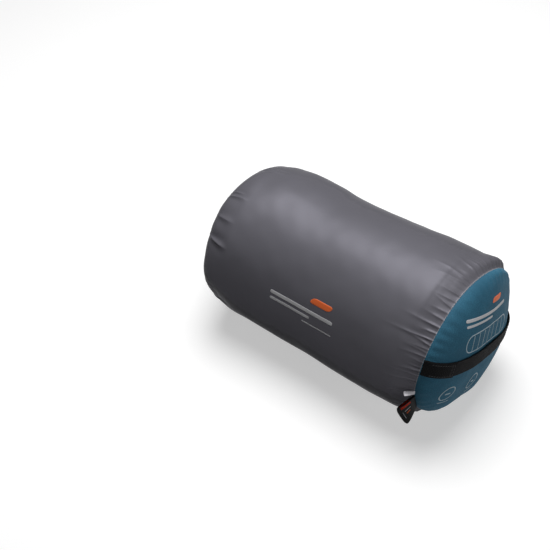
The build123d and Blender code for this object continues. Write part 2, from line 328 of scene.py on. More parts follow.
def tube_surface(back, turn, lift=0.0):
    """Points on the tube's cloth, by the length back from the end seam and the angle round the axis."""
    back, turn = np.broadcast_arrays(back, turn)
    x, r, nx, nr = outline_at(back)
    relief = tube_relief(back, turn, x, r * np.cos(turn), r * np.sin(turn)) + lift
    x, r = x + nx * relief, r + nr * relief
    x = x - seam_pull(turn) * (1 - soft_step(back, 0, 70 * MM))
    points = round_axis(x, r, turn)
    points[..., 2] = press_flat(points[..., 2])
    return points


# ---------------------------------------------------------------- the end panel
def panel_x(r):
    """How far along the sack the stuffed panel stands at radius r."""
    return SEAM_X + PANEL_BULGE * (1 - np.clip(r / (SEAM_R - 0.25 * MM), 0, 1) ** PANEL_FULLNESS) ** 0.5


def panel_slope(r):
    """The panel's normal at radius r, as its part along the sack and its part straight out."""
    low, high = np.clip(r - 0.05 * MM, 0, None), np.clip(r + 0.05 * MM, None, SEAM_R)
    run, fall = high - low, panel_x(low) - panel_x(high)
    size = np.hypot(run, fall)
    return run / size, fall / size


def panel_relief(y, z, r):
    """The panel's lumps and hollows, and the short pulls that its seam puts in its edge."""
    edge = soft_step(SEAM_R - r, 0, 25 * MM)
    relief = 0.45 * MM * edge * lumps(0 * y, y, z, 60 * MM, 21)
    relief = relief + 0.12 * MM * edge * lumps(0 * y, y, z, 17 * MM, 22)
    for across, up, spread, deep in PANEL_HOLLOWS:
        away = (y - across * MM) ** 2 + (z - up * MM) ** 2
        relief = relief - deep * MM * soft_step(SEAM_R - r, 0, 7 * MM) * np.exp(-away / (spread * MM) ** 2)
    turn = np.arctan2(z, y)
    pull = np.exp(-(SEAM_R - r) / (7 * MM)) * (1 - np.exp(-(SEAM_R - r) / (1.2 * MM)))
    return relief + 0.5 * MM * pull * np.sin(46 * turn + 2 * np.sin(5 * turn))


def panel_surface(y, z, lift=0.0):
    """Points on the panel's cloth above y and z, which are measured from the sack's axis."""
    turn = np.arctan2(z, y)
    out = np.maximum(np.hypot(y, z), 1e-9)
    r = out * SEAM_R / seam_radius(turn)
    nx, nr = panel_slope(r)
    up = panel_relief(y, z, r) + lift
    x = panel_x(r) + nx * up - seam_pull(turn) * (r / SEAM_R) ** 4
    return np.stack([x, y + y / out * nr * up, AXIS_Z + z + z / out * nr * up], -1)


# ---------------------------------------------------------------- making meshes
def new_piece(name, points, faces, uv=None, smooth=True):
    """A new object from points and faces. uv is each face corner's place on the cut cloth."""
    mesh = bpy.data.meshes.new(name)
    mesh.from_pydata([tuple(p) for p in points], [], [tuple(f) for f in faces])
    if uv is not None:
        mesh.uv_layers.new(name="cloth").uv.foreach_set("vector", np.asarray(uv, np.float32).ravel())
    if smooth:
        mesh.shade_smooth()
    piece = bpy.data.objects.new(name, mesh)
    bpy.context.scene.collection.objects.link(piece)
    return piece


def cut_strip(lengths, across):
    """Each point's place on cloth cut as a strip, from its row's length and its column's place across."""
    return np.stack(np.broadcast_arrays(lengths[:, None], across[None]), -1)


def cut_round(radii, cols):
    """The same for cloth cut round, from the middle out."""
    turns = np.linspace(0, 2 * math.pi, cols + 1)
    return np.stack([radii[:, None] * np.cos(turns), radii[:, None] * np.sin(turns)], -1)


def grid_piece(name, points, flat, closed=False):
    """Cloth from rows and columns of points. flat is each one's place on the cut cloth, in metres."""
    rows, cols = points.shape[:2]
    wide = cols if closed else cols - 1
    i, j = np.meshgrid(np.arange(rows - 1), np.arange(wide), indexing="ij")
    k = (j + 1) % cols
    faces = np.stack([i * cols + j, (i + 1) * cols + j, (i + 1) * cols + k, i * cols + k], -1)
    uv = np.stack([flat[i, j], flat[i + 1, j], flat[i + 1, j + 1], flat[i, j + 1]], -2)
    return new_piece(name, points.reshape(-1, 3), faces.reshape(-1, 4).tolist(), uv.reshape(-1, 2))


def swept_piece(name, spots, sides, ups, section):
    """A strip with a closed section, its two ends capped. section is (across, up) points, in metres."""
    a, b = np.array(section, float).T
    points = spots[:, None] + sides[:, None] * a[:, None] + ups[:, None] * b[:, None]
    rows, cols = points.shape[:2]
    i, j = np.meshgrid(np.arange(rows - 1), np.arange(cols), indexing="ij")
    k = (j + 1) % cols
    faces = np.stack([i * cols + j, i * cols + k, (i + 1) * cols + k, (i + 1) * cols + j], -1)
    caps = [list(range(cols - 1, -1, -1)), list(range((rows - 1) * cols, rows * cols))]
    everything = faces.reshape(-1, 4).tolist() + caps
    place = cut_strip(lengths_along(spots), a).reshape(-1, 2)
    piece = new_piece(name, points.reshape(-1, 3), everything, place[np.concatenate(everything)])
    crisp_edges(piece)
    return piece


def crisp_edges(piece):
    """Keeps an edge sharp where the two faces beside it differ by more than this."""
    piece.data.set_sharp_from_angle(angle=math.radians(50))


def strip_section(width, thick, base):
    """The section of a woven strip with round edges, its underside at this height."""
    r, centre = thick / 2, base + thick / 2
    half = width / 2 - r
    right = [(half + r * math.cos(t), centre + r * math.sin(t)) for t in np.radians([-90, -45, 0, 45, 90])]
    top = [(x * half, base + thick) for x in np.linspace(1, -1, 13)[1:-1]]
    left = [(-a, b) for a, b in reversed(right)]
    under = [(x * half, base) for x in np.linspace(-1, 1, 13)[1:-1]]
    return right + top + left + under


def thicken(piece, thick, offset=-1):
    """Gives a sheet its thickness, as a closed mesh."""
    made = piece.modifiers.new("thickness", "SOLIDIFY")
    made.thickness, made.offset, made.use_even_offset = thick, offset, True
    shown = piece.evaluated_get(bpy.context.evaluated_depsgraph_get())
    mesh = bpy.data.meshes.new_from_object(shown)
    piece.modifiers.clear()
    piece.data = mesh


def change_mesh(piece, change):
    """Opens a piece's mesh, makes one change to it and puts it back."""
    mesh = bmesh.new()
    mesh.from_mesh(piece.data)
    mesh.verts.ensure_lookup_table()
    change(mesh)
    mesh.to_mesh(piece.data)
    mesh.free()


def close_over(piece, *rings, smooth=False):
    """Adds one face over each ring of points, given by their numbers."""
    def close(mesh):
        for ring in rings:
            mesh.faces.new([mesh.verts[n] for n in ring]).smooth = smooth
    change_mesh(piece, close)


STITCH_SIDES = 6  # points round a stitch
STITCH_RINGS = 6  # rings of points along it


def stitches(name, runs, length, gap, thread):
    """Rows of sewn stitches. Each run is its points and the surface's normals there."""
    sink = 0.12 * MM  # how deep a stitch's ends are drawn in
    points, faces = [], []
    for line, normals in runs:
        along = lengths_along(line)
        count = max(1, int(along[-1] // (length + gap)))
        pitch = along[-1] / count
        for n in range(count):
            spots = []
            for share in np.linspace(0, 1, STITCH_RINGS):
                at = n * pitch + gap / 2 + share * (pitch - gap)
                spot = np.array([np.interp(at, along, line[:, c]) for c in range(3)])
                up = np.array([np.interp(at, along, normals[:, c]) for c in range(3)])
                up /= np.linalg.norm(up)
                arch = math.sin(math.pi * share)
                spots.append((spot + up * (thread * 0.8 * arch - sink), up, 0.25 + 0.75 * arch ** 0.5))
            way = spots[-1][0] - spots[0][0]
            way /= np.linalg.norm(way)
            first = len(points)
            for spot, up, swell in spots:
                side = np.cross(way, up)
                for t in range(STITCH_SIDES):
                    turn = 2 * math.pi / STITCH_SIDES * t
                    points.append(spot + thread * swell * (side * math.cos(turn) + up * math.sin(turn)))
            for ring in range(first, len(points) - STITCH_SIDES, STITCH_SIDES):
                for t in range(STITCH_SIDES):
                    a, b = ring + t, ring + (t + 1) % STITCH_SIDES
                    faces.append((b, a, a + STITCH_SIDES, b + STITCH_SIDES))
            faces.append(range(first, first + STITCH_SIDES))
            faces.append(range(len(points) - 1, len(points) - 1 - STITCH_SIDES, -1))
    return new_piece(name, points, faces)


# ---------------------------------------------------------------- finishes
def linear(hex_colour):
    """An sRGB hex colour as the linear red, green and blue that a shader takes."""
    parts = [int(hex_colour[i:i + 2], 16) / 255 for i in (1, 3, 5)]
    return tuple(c / 12.92 if c <= 0.04045 else ((c + 0.055) / 1.055) ** 2.4 for c in parts) + (1.0,)


def add(tree, kind, inputs=None, **settings):
    """Adds one node with its settings; an input is a number, a colour or another node's output."""
    node = tree.nodes.new("ShaderNode" + kind)
    for name, value in settings.items():
        setattr(node, name, value)
    for name, value in (inputs or {}).items():
        socket = node.inputs[name]
        if isinstance(value, bpy.types.NodeSocket):
            tree.links.new(value, socket)
        else:
            socket.default_value = value
    return node


def empty_tree(owner):
    """The node tree of a material or a world, cleared."""
    owner.use_nodes = True
    owner.node_tree.nodes.clear()
    return owner.node_tree


def finish_of(name, **surface):
    """A new material with one surface shader; its plain values stand on the shader's own sockets."""
    made = bpy.data.materials.new(name)
    tree = empty_tree(made)
    shader = add(tree, "BsdfPrincipled", {key.replace("_", " "): value for key, value in surface.items()})
    output = add(tree, "OutputMaterial", {"Surface": shader.outputs["BSDF"]})
    output.is_active_output = True
    return made, tree, shader


def cloth_place(tree):
    """A point's place on the cut cloth, along it and across it, in metres."""
    place = add(tree, "SeparateXYZ", {0: add(tree, "UVMap", uv_map="cloth").outputs["UV"]})
    return place.outputs["X"], place.outputs["Y"]


def woven_height(tree, pitch, across_pitch=None):
    """Over-and-under threads of a plain weave, this far from thread to thread, as a height from -1 to 1."""
    waves = []
    for way, spacing in zip(cloth_place(tree), (pitch, across_pitch or pitch)):
        turns = add(tree, "Math", {0: way, 1: math.pi / spacing}, operation="MULTIPLY")
        waves.append(add(tree, "Math", {0: turns.outputs[0]}, operation="SINE").outputs[0])
    return add(tree, "Math", {0: waves[0], 1: waves[1]}, operation="MULTIPLY").outputs[0]


def mottle(tree, size, detail=3.0):
    """Slow uneven change over the surface, from 0 to 1, with patches of this size."""
    place = add(tree, "TexCoord").outputs["Object"]
    noise = add(tree, "TexNoise", {"Vector": place, "Scale": 1 / size, "Detail": detail})
    return noise.outputs["Fac"]


def put_on(tree, shader, tone, shades, relief, depth, strength=1.0, rough=None):
    """Puts a finish's patterns on its shader: two shades mixed by tone, the roughness, and the relief.

    rough is a pattern with the least and the greatest roughness; left out, the roughness is even.
    """
    low, high = shades
    colour = add(tree, "Mix", {"Factor": tone, "A": linear(low), "B": linear(high)}, data_type="RGBA")
    tree.links.new(colour.outputs["Result"], shader.inputs["Base Color"])
    if rough:
        pattern, least, greatest = rough
        spread = add(tree, "MapRange", {"Value": pattern, "To Min": least, "To Max": greatest})
        tree.links.new(spread.outputs["Result"], shader.inputs["Roughness"])
    raised = add(tree, "Bump", {"Height": relief, "Distance": depth, "Strength": strength})
    tree.links.new(raised.outputs["Normal"], shader.inputs["Normal"])


def lay_over(tree, shader, share, shade):
    """Lays another colour over a finish's own, by share."""
    under = shader.inputs["Base Color"].links[0].from_socket
    colour = add(tree, "Mix", {"Factor": share, "A": under, "B": linear(shade)}, data_type="RGBA")
    tree.links.new(colour.outputs["Result"], shader.inputs["Base Color"])


def satin_polyester():
    """Coated polyester taffeta, calendered: a soft satin gloss that spreads the light in a wide band.

    The small metallic share gives that broad dim gloss. The low, dark specular keeps it from turning
    pale at a grazing view, as a clear film would.
    """
    made, tree, shader = finish_of("satin_coated_polyester", Metallic=0.23, Specular_IOR_Level=0.03,
                                   Specular_Tint=linear("#2E2C30"))
    # threads are 0.2 mm apart; drawn at 0.7 mm, so that a close look shows them
    put_on(tree, shader, mottle(tree, 90 * MM), ("#5B5A60", "#626168"),
           woven_height(tree, 0.7 * MM), 0.02 * MM, 0.5, rough=(mottle(tree, 35 * MM), 0.38, 0.43))
    # painted highlight: the cloth is painted pale along the folded edge beside the seam, for the light that
    # the fold catches there
    along, _ = cloth_place(tree)
    from_edge = add(tree, "Math", {0: along}, operation="ABSOLUTE").outputs[0]
    painted_edge_highlight = add(tree, "MapRange", {"Value": from_edge, "From Max": 1.3 * MM, "To Min": 0.75, "To Max": 0})
    lay_over(tree, shader, painted_edge_highlight.outputs["Result"], "#A7A5AA")
    return made


def canvas_polyester():
    """Textured polyester weave, dyed teal: matt, with a grain that shows close to."""
    made, tree, shader = finish_of("teal_polyester_weave", Specular_IOR_Level=0.08, Sheen_Weight=0.02,
                                   Sheen_Roughness=0.5, Sheen_Tint=linear("#7FB2C8"))
    fine, broad = mottle(tree, 1.3 * MM, 2.0), mottle(tree, 45 * MM)
    grain = add(tree, "Math", {0: fine, 1: broad}, operation="MULTIPLY")
    tone = add(tree, "MapRange", {"Value": grain.outputs[0], "To Min": -0.4, "To Max": 1.9})
    # threads are 0.45 mm apart; drawn at 0.9 mm
    put_on(tree, shader, tone.outputs["Result"], ("#305C72", "#417B95"),
           woven_height(tree, 0.9 * MM), 0.08 * MM, 0.8, rough=(mottle(tree, 2 * MM), 0.55, 0.7))
    return made


def black_webbing(name, rib, *shades):
    """Woven polypropylene webbing: dull black ribs across the strap, with a painted highlight on the
    threads' tops and painted shade between them.
    """
    made, tree, shader = finish_of(name, Specular_IOR_Level=0.05)
    weave = woven_height(tree, rib, 1.6 * rib)
    # painted highlight and shade: the colour follows the weave's height, lighter on raised threads and
    # darker in the hollows between them
    put_on(tree, shader, weave, shades, weave, 0.3 * MM, 0.8, rough=(mottle(tree, 3 * MM), 0.6, 0.8))
    return made


def sewing_thread(name, *shades):
    """Spun polyester sewing thread: soft, with a twist that breaks up the light."""
    made, tree, shader = finish_of(name, Roughness=0.6, Specular_IOR_Level=0.4)
    put_on(tree, shader, mottle(tree, 0.8 * MM), shades, mottle(tree, 0.4 * MM), 0.05 * MM)
    return made


def plain_tape(name, pitch, *shades):
    """Woven tape or lining: a plain dull weave."""
    made, tree, shader = finish_of(name, Specular_IOR_Level=0.35)
    put_on(tree, shader, mottle(tree, 6 * MM), shades, woven_height(tree, pitch), 0.08 * MM, 0.7,
           rough=(mottle(tree, 2 * MM), 0.65, 0.8))
    return made


def white_satin_ribbon():
    """Satin label ribbon, slit and folded: bright white with a slight gloss along its threads."""
    made, tree, shader = finish_of("white_satin_ribbon", Roughness=0.42, Specular_IOR_Level=0.5,
                                   Sheen_Weight=0.2, Sheen_Roughness=0.4)
    put_on(tree, shader, mottle(tree, 5 * MM), ("#D2D0D6", "#E4E2E6"),
           woven_height(tree, 0.4 * MM, 0.8 * MM), 0.04 * MM, 0.6)
    return made


def damask_ribbon():
    """Damask-woven label ribbon: black satin ground, a brick-red band, small pale and orange marks."""
    made, tree, shader = finish_of("black_damask_ribbon", Roughness=0.4, Specular_IOR_Level=0.04)
    put_on(tree, shader, mottle(tree, 4 * MM), ("#070708", "#0D0D0E"),
           woven_height(tree, 0.35 * MM, 0.7 * MM), 0.05 * MM, 0.7)
    # each mark: its span along the ribbon and its span across it, in millimetres, and its thread
    marks = (((8, 22.5), (1.0, 4.6), "#A82A14"), ((10, 19), (9.5, 10.5), "#B9B9BC"),
             ((21.5, 22.5), (9.5, 19), "#8F8F95"), ((12, 18), (13.4, 15.2), "#B5532A"))
    ways = cloth_place(tree)
    for *spans, thread in marks:
        inside = [add(tree, "Math", {0: way, 1: (a + b) / 2 * MM, 2: (b - a) / 2 * MM}, operation="COMPARE")
                  for way, (a, b) in zip(ways, spans)]
        both = add(tree, "Math", {0: inside[0].outputs[0], 1: inside[1].outputs[0]}, operation="MULTIPLY")
        lay_over(tree, shader, both.outputs[0], thread)
    return made


def plated_brass():
    """Nickel-plated brass, pressed: bright with fine rubbing marks."""
    made, tree, shader = finish_of("nickel_plated_brass", Metallic=1.0)
    put_on(tree, shader, mottle(tree, 2 * MM), ("#9A9A9C", "#B4B4B6"), mottle(tree, 0.5 * MM), 0.01 * MM,
           rough=(mottle(tree, 1.2 * MM), 0.22, 0.36))
    return made


def screen_ink(name, *shades):
    """Screen-printed plastisol ink: a thin even film, slightly glossier than the cloth under it."""
    made, tree, shader = finish_of(name, Specular_IOR_Level=0.45)
    put_on(tree, shader, mottle(tree, 3 * MM), shades, mottle(tree, 0.6 * MM), 0.02 * MM, 0.6,
           rough=(mottle(tree, 2 * MM), 0.45, 0.6))
    return made


def quilt_polyester():
    """Soft-touch polyester shell of the sleeping bag: dull teal with a faint downy sheen."""
    made, tree, shader = finish_of("soft_quilt_polyester", Roughness=0.6, Sheen_Weight=0.3,
                                   Sheen_Roughness=0.5)
    put_on(tree, shader, mottle(tree, 30 * MM), ("#274F63", "#2F5B70"), mottle(tree, 6 * MM), 0.6 * MM)
    return made


SHELL_CLOTH = satin_polyester()
PANEL_CLOTH = canvas_polyester()
WEBBING = black_webbing("polypropylene_webbing", 0.9 * MM, "#0C0C0D", "#171819")
COARSE_WEBBING = black_webbing("coarse_webbing_end", 1.5 * MM, "#080809", "#161617")
GREY_THREAD = sewing_thread("grey_thread", "#7C7A82", "#96949C")
BLACK_THREAD = sewing_thread("black_thread", "#101011", "#262628")
BINDING = plain_tape("woven_bias_tape", 0.8 * MM, "#161617", "#1E1E20")
LINING = plain_tape("plain_polyester_lining", 0.6 * MM, "#3A3A3E", "#434348")
CARE_RIBBON = white_satin_ribbon()
BADGE_RIBBON = damask_ribbon()
METAL = plated_brass()
PALE_INK = screen_ink("pale_screen_ink", "#C4C4C7", "#D2D2D4")
ORANGE_INK = screen_ink("orange_screen_ink", "#E2662C", "#EC6E33")
PANEL_INK = screen_ink("grey_blue_screen_ink", "#9DB2BC", "#B2C3CB")
QUILT = quilt_polyester()


def dress(piece, material, body="sack", replaces=()):
    """Gives a finished piece its material and tells which body it rides on and what it stands for."""
    piece.data.materials.clear()
    piece.data.materials.append(material)
    if body:
        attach(piece, body)
    if replaces:
        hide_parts(*replaces)
    return piece


# ---------------------------------------------------------------- the tube
TUBE_COLS = 860
SEAM_ALLOWANCE = 12 * MM  # how much cloth lies beyond the end seam, turned in and run back inside


def tube_rows():
    """Lengths back from the seam, closer together where the cloth is gathered."""
    return np.concatenate([
        np.linspace(0, 3 * MM, 5, endpoint=False),
        np.linspace(3 * MM, 75 * MM, 56, endpoint=False),
        np.linspace(75 * MM, RIM_BACK - 40 * MM, 36, endpoint=False),
        np.linspace(RIM_BACK - 40 * MM, NECK_BACK, 80),
    ])


FOLD_STEPS = (30, 60, 90, 120, 150)  # degrees round a fold in cloth


def turn_in(edge, x, fold, run):
    """Two rows of points inside a cloth's edge: folded in towards the axis at x, then run back."""
    folded = edge.copy()
    folded[..., 1:] = [0, AXIS_Z] + (folded[..., 1:] - [0, AXIS_Z]) * (1 - fold / SEAM_R)
    folded[..., 0] = x
    return folded, folded - [run, 0, 0]


def make_tube():
    """The tube of satin cloth, gathered at both ends, its edge turned in at the end seam."""
    rows, turns = tube_rows(), whole_turn(TUBE_COLS)
    cloth = tube_surface(rows[:, None], turns[None])
    fold = 2.2 * MM
    folded, inside = turn_in(cloth[:1], SEAM_X - 0.1 * MM - seam_pull(turns), fold, 9 * MM)
    lengths = np.concatenate([[-SEAM_ALLOWANCE, -fold], rows])
    flat = cut_strip(lengths, np.linspace(0, 2 * math.pi * SEAM_R, TUBE_COLS + 1))
    piece = grid_piece("shell_tube", np.concatenate([inside, folded, cloth]), flat, closed=True)
    return dress(piece, SHELL_CLOTH, replaces=["body_shell"])


def ruffle_surface(share, inset, turn):
    """Points on the ruffle's outer face, from its neck at 0 to its edge at 1, this far under the face."""
    calm = away_from_eyelet(turn)
    wobble = calm * (0.8 * MM * np.sin(4 * turn + 0.6) + 0.5 * MM * np.sin(9 * turn))
    r = NECK_R + (RUFFLE_EDGE_R - NECK_R) * share + inset
    height = (1.5 + 1.7 * np.sin(np.minimum(share, 1) * math.pi / 2)) * MM
    r = r + height * mouth_fold(turn) + share * wobble
    x = OUT_X[-1] - RUFFLE_LENGTH * share + 0.9 * MM * share * calm * np.sin(7 * turn + 1)
    return round_axis(x, r, turn)


def make_ruffle():
    """The tunnel for the drawcord: a folded strip of the tube's own cloth, bunched by the drawn-in neck."""
    cols = 480
    wall = 1.6 * MM  # from the tunnel's outer face to its inner one
    out = np.linspace(0, 1, 22)
    tip = [(1 + 0.035 * math.sin(t), -wall / 2 + wall / 2 * math.cos(t)) for t in np.radians(FOLD_STEPS)]
    section = [(share, 0.0) for share in out] + tip + [(share, -wall) for share in out[::-1]]
    rows = [ruffle_surface(share, inset, whole_turn(cols)) for share, inset in section]
    shares = np.array([share for share, _ in section])
    # past the middle of the tip the cloth is the tunnel's inner face, cut 8 mm further on
    lengths = shares * RUFFLE_LENGTH + np.where(np.arange(len(shares)) < len(out) + 3, 0, 8 * MM)
    flat = cut_strip(lengths, np.linspace(0, 2 * math.pi * SEAM_R, cols + 1))
    piece = grid_piece("mouth_ruffle", np.array(rows), flat, closed=True)
    low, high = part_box("cord_eyelet")
    centre, bore = (low + high) / 2, 0.32 * (high.y - low.y)

    def bore_hole(mesh):
        """Cuts the hole that the eyelet sits in."""
        middles = [(face, face.calc_center_median()) for face in mesh.faces]
        cut = [face for face, at in middles if math.hypot(at.x - centre.x, at.y) < bore and at.z > AXIS_Z]
        bmesh.ops.delete(mesh, geom=cut, context="FACES")
    change_mesh(piece, bore_hole)
    return dress(piece, SHELL_CLOTH, replaces=["mouth_hem"])


def make_panel():
    """The round end panel, bulging with the load, its edge turned in beside the tube's."""
    cols = 360
    turns = whole_turn(cols)
    fold = 2 * MM
    lean = np.linspace(0.4, 89.8, 110)  # packs the rows closer together towards the seam
    radii = (SEAM_R - 0.25 * MM) * np.sin(np.radians(lean))
    spread = radii[:, None] * seam_radius(turns) / SEAM_R
    cloth = panel_surface(spread * np.cos(turns), spread * np.sin(turns))
    folded, inside = turn_in(cloth[-1:], SEAM_X + 0.1 * MM - seam_pull(turns), fold, 10 * MM)
    flat = cut_round(np.concatenate([radii, [SEAM_R + fold, SEAM_R + SEAM_ALLOWANCE]]), cols)
    piece = grid_piece("end_round", np.concatenate([cloth, folded, inside]), flat, closed=True)
    close_over(piece, range(cols), smooth=True)
    return dress(piece, PANEL_CLOTH, replaces=["end_panel"])


def make_seam_stitches():
    """The stitches that show in the groove of the end seam."""
    turns = np.radians(np.arange(0, 360.1, 1.0))
    line = round_axis(SEAM_X + 0.2 * MM - seam_pull(turns), seam_radius(turns) - 0.2 * MM, turns)
    normals = np.stack([np.full_like(turns, 0.7), 0.7 * np.cos(turns), 0.7 * np.sin(turns)], -1)
    dress(stitches("end_seam_stitches", [(line, normals)], 1.8 * MM, 1.4 * MM, 0.2 * MM), GREY_THREAD)


def make_tube_stitches():
    """The two rows beside the lengthwise seam, and the row that closes the cord's tunnel."""
    runs = []
    backs = np.arange(6 * MM, NECK_BACK - 50 * MM, 2 * MM)
    for side in (-2.4 * MM, 2.4 * MM):
        turn = math.radians(SIDE_SEAM_TURN) + side / SEAM_R
        normals = np.tile([0, math.cos(turn), math.sin(turn)], (len(backs), 1))
        runs.append((tube_surface(backs, turn, 0.1 * MM), normals))
    dress(stitches("side_seam_stitches", runs, 2.2 * MM, 0.9 * MM, 0.26 * MM), GREY_THREAD)
    turns = np.radians(np.arange(0, 360.1, 0.75))
    normals = np.stack([0 * turns, np.cos(turns), np.sin(turns)], -1)
    runs = [(ruffle_surface(0.1, 0.1 * MM, turns), normals)]
    dress(stitches("tunnel_stitches", runs, 1.8 * MM, 0.8 * MM, 0.24 * MM), GREY_THREAD)


# ---------------------------------------------------------------- the handle
HANDLE_OUT = np.array([0, math.cos(math.radians(HANDLE_TILT)), math.sin(math.radians(HANDLE_TILT))])
HANDLE_SIDE = np.cross(HANDLE_OUT, [1, 0, 0])


def handle_spots(start, end, count):
    """Points, side and up directions along the handle, from one distance across the panel to another."""
    whole = np.sin(np.linspace(math.asin(start / SEAM_R), math.asin(end / SEAM_R), count)) * SEAM_R
    side = HANDLE_OUT * (1 if start + end > 0 else -1)
    reach = float(seam_radius(math.atan2(side[2], side[1]))) / SEAM_R
    bow = HANDLE_BOW * (np.clip(whole / SEAM_R + 0.5, 0, None) / 1.5) ** 1.6
    bow = bow + 0.07 * np.clip(-whole - HANDLE_DOUBLED, 0, None)
    flat = whole[:, None] * reach * HANDLE_OUT - bow[:, None] * HANDLE_SIDE
    spots = panel_surface(flat[:, 1], flat[:, 2])
    ways = np.gradient(spots, axis=0) * (1 if end > start else -1)
    ups = np.cross(HANDLE_SIDE, ways)
    ups = ups / np.linalg.norm(ups, axis=1)[:, None]
    sides = np.cross(ways, ups)
    sides = sides / np.linalg.norm(sides, axis=1)[:, None]
    slack = HANDLE_SLACK * np.clip(1 - (whole / HANDLE_FREE) ** 2, 0, None) ** 2
    return spots + ups * slack[:, None], sides, ups


def make_handle():
    """The webbing in two halves, its doubled near end, and their stitches."""
    edge = SEAM_R - 0.4 * MM
    section = strip_section(WEBBING_WIDTH, WEBBING_THICK, WEBBING_GAP)
    for name, side, node in (("handle_near_half", -1, "handle_grip"),
                             ("handle_far_half", 1, "handle_far_end")):
        spots, sides, ups = handle_spots(0, side * edge, 90)
        piece = swept_piece(name, spots, -side * sides, ups, section)
        piece.data.materials.append(WEBBING)
        free, _, _ = handle_spots(side * (HANDLE_FREE - 1 * MM), side * HANDLE_LIFTS, 2)
        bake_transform(piece)
        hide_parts(node)
    section = strip_section(WEBBING_WIDTH + 0.3 * MM, WEBBING_THICK, WEBBING_GAP + WEBBING_THICK)
    doubled = swept_piece("handle_doubling", *handle_spots(-HANDLE_DOUBLED, -edge, 40), section)
    dress(doubled, COARSE_WEBBING, replaces=["handle_near_end"])
    # each end is sewn down with a box of stitches and a row that closes it
    runs = []
    half = WEBBING_WIDTH / 2 - 2.5 * MM
    for start, end, height in ((-HANDLE_DOUBLED - 2 * MM, -edge + 3 * MM, WEBBING_GAP + 2 * WEBBING_THICK),
                               (HANDLE_FREE + 2 * MM, edge - 3 * MM, WEBBING_GAP + WEBBING_THICK)):
        spots, sides, ups = handle_spots(start, end, 30)
        top = spots + ups * height
        runs += [(top + sides * away, ups) for away in (-half, half)]
        for n in (0, 3):
            across = np.linspace(top[n] - sides[n] * half, top[n] + sides[n] * half, 12)
            runs.append((across, np.tile(ups[n], (12, 1))))
    dress(stitches("handle_stitches", runs, 2.4 * MM, 0.8 * MM, 0.3 * MM), BLACK_THREAD)


# ---------------------------------------------------------------- labels in the end seam
RIBBON_THICK = 0.35 * MM


def seam_spot(angle):
    """Where a ribbon comes out of the end seam at this angle round the sack."""
    turn = math.radians(angle)
    return round_axis(SEAM_X + 1.2 * MM - seam_pull(turn), seam_radius(turn) + 0.4 * MM, turn)


def folded_ribbon(name, angles, reaches, opening, droop):
    """A ribbon folded in two, caught in the end seam at two angles, one for each of its side edges.

    reaches are the ways from there to the fold, opening is how far its two layers stand apart, and
    droop is how far it hangs out of line.
    """
    root_a, root_b = (seam_spot(angle) for angle in angles)
    tip_a, tip_b = (root + np.array(reach) * MM for root, reach in zip((root_a, root_b), reaches))
    across = np.linspace(0, 1, 25)[None, :, None]
    length = (np.linalg.norm(tip_a - root_a) + np.linalg.norm(tip_b - root_b)) / 2
    width = np.linalg.norm(root_b - root_a)
    face = np.cross((tip_a + tip_b - root_a - root_b) / 2, root_b - root_a)
    face /= np.linalg.norm(face)
    # out along the upper layer, round the fold and back along the lower one
    fold = np.radians(FOLD_STEPS)
    share = np.concatenate([np.linspace(0, 0.97, 30), 0.97 + 0.03 * np.sin(fold), np.linspace(0.97, 0, 30)])
    side = np.concatenate([np.ones(30), np.cos(fold), -np.ones(30)])
    u = share[:, None, None]
    base = (root_a + (tip_a - root_a) * u) * (1 - across) + (root_b + (tip_b - root_b) * u) * across
    base = base + ((root_a + root_b) / 2 - base) * (0.09 * u**2 * np.abs(2 * across - 1) ** 4)
    bow = opening * np.sin(np.pi * np.clip(share, 0, 1)) ** 0.7 + 0.45 * MM
    sag = droop * np.sin(np.pi * share * 0.5) ** 2 * (1 - share * 0.4)
    ripple = 0.5 * MM * np.sin(across[..., 0] * 5 + share[:, None] * 3) * share[:, None]
    points = base + face * (side * bow + sag)[:, None, None] + face * ripple[..., None]
    run = np.concatenate([[0], np.cumsum(np.abs(np.diff(share)))]) * length
    flat = cut_strip(run, across[0, :, 0] * width)
    flat[..., 0] = np.where(flat[..., 0] > length, 2 * length - flat[..., 0], flat[..., 0])
    piece = grid_piece(name, points, flat)
    thicken(piece, RIBBON_THICK, 0)
    crisp_edges(piece)
    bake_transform(piece)
    return piece


def make_labels():
    """The white care ribbon and the wider black badge below it."""
    care = folded_ribbon("care_ribbon", (181.6, 184.2),
                         ((-12.2, -5.8, -3.0), (-9.2, -8.8, -1.2)), 0.5 * MM, 0.6 * MM)
    dress(care, CARE_RIBBON, None, ["care_label"])
    badge = folded_ribbon("badge_loop", (186.5, 201.5),
                          ((-11.6, -23.4, -9.8), (0.0, -20.8, -15.9)), 1.3 * MM, 1.0 * MM)
    dress(badge, BADGE_RIBBON, None, ["woven_badge"])


# ---------------------------------------------------------------- prints
INK_LIFT = 0.12 * MM  # how far the middle of the film stands off the cloth
INK_THICK = 0.16 * MM


def bar(length, height, lean=0.0):
    """A printed bar with round ends: places along and up from its middle."""
    u, v = np.meshgrid(np.linspace(-1, 1, 41), np.linspace(-1, 1, 9), indexing="ij")
    inner = length / 2 - height / 2
    end = np.clip((np.abs(u) - 0.9) / 0.1, 0, 1)
    along = np.sign(u) * (inner * np.minimum(np.abs(u) / 0.9, 1) + height / 2 * np.sin(end * math.pi / 2))
    up = height / 2 * v * np.sqrt(np.clip(1 - np.sin(end * math.pi / 2) ** 2, 0.0004, 1))
    return along + lean * up, up


def outline(length, height, line, steps):
    """A printed line round a long shape with round ends, or a ring where length and height are equal."""
    turn, v = np.meshgrid(np.linspace(0, 2 * math.pi, steps), np.linspace(-0.5, 0.5, 3), indexing="ij")
    r = height / 2 + line * v
    shift = (length - height) / 2 * np.tanh(6 * np.cos(turn))
    return r * np.cos(turn) + shift, r * np.sin(turn)


def on_tube(shape, x, angle):
    """A shape laid on the tube at a place along it and an angle round it."""
    along, up = shape
    return tube_surface(back_at(x + along), math.radians(angle) - up / SEAM_R, INK_LIFT)


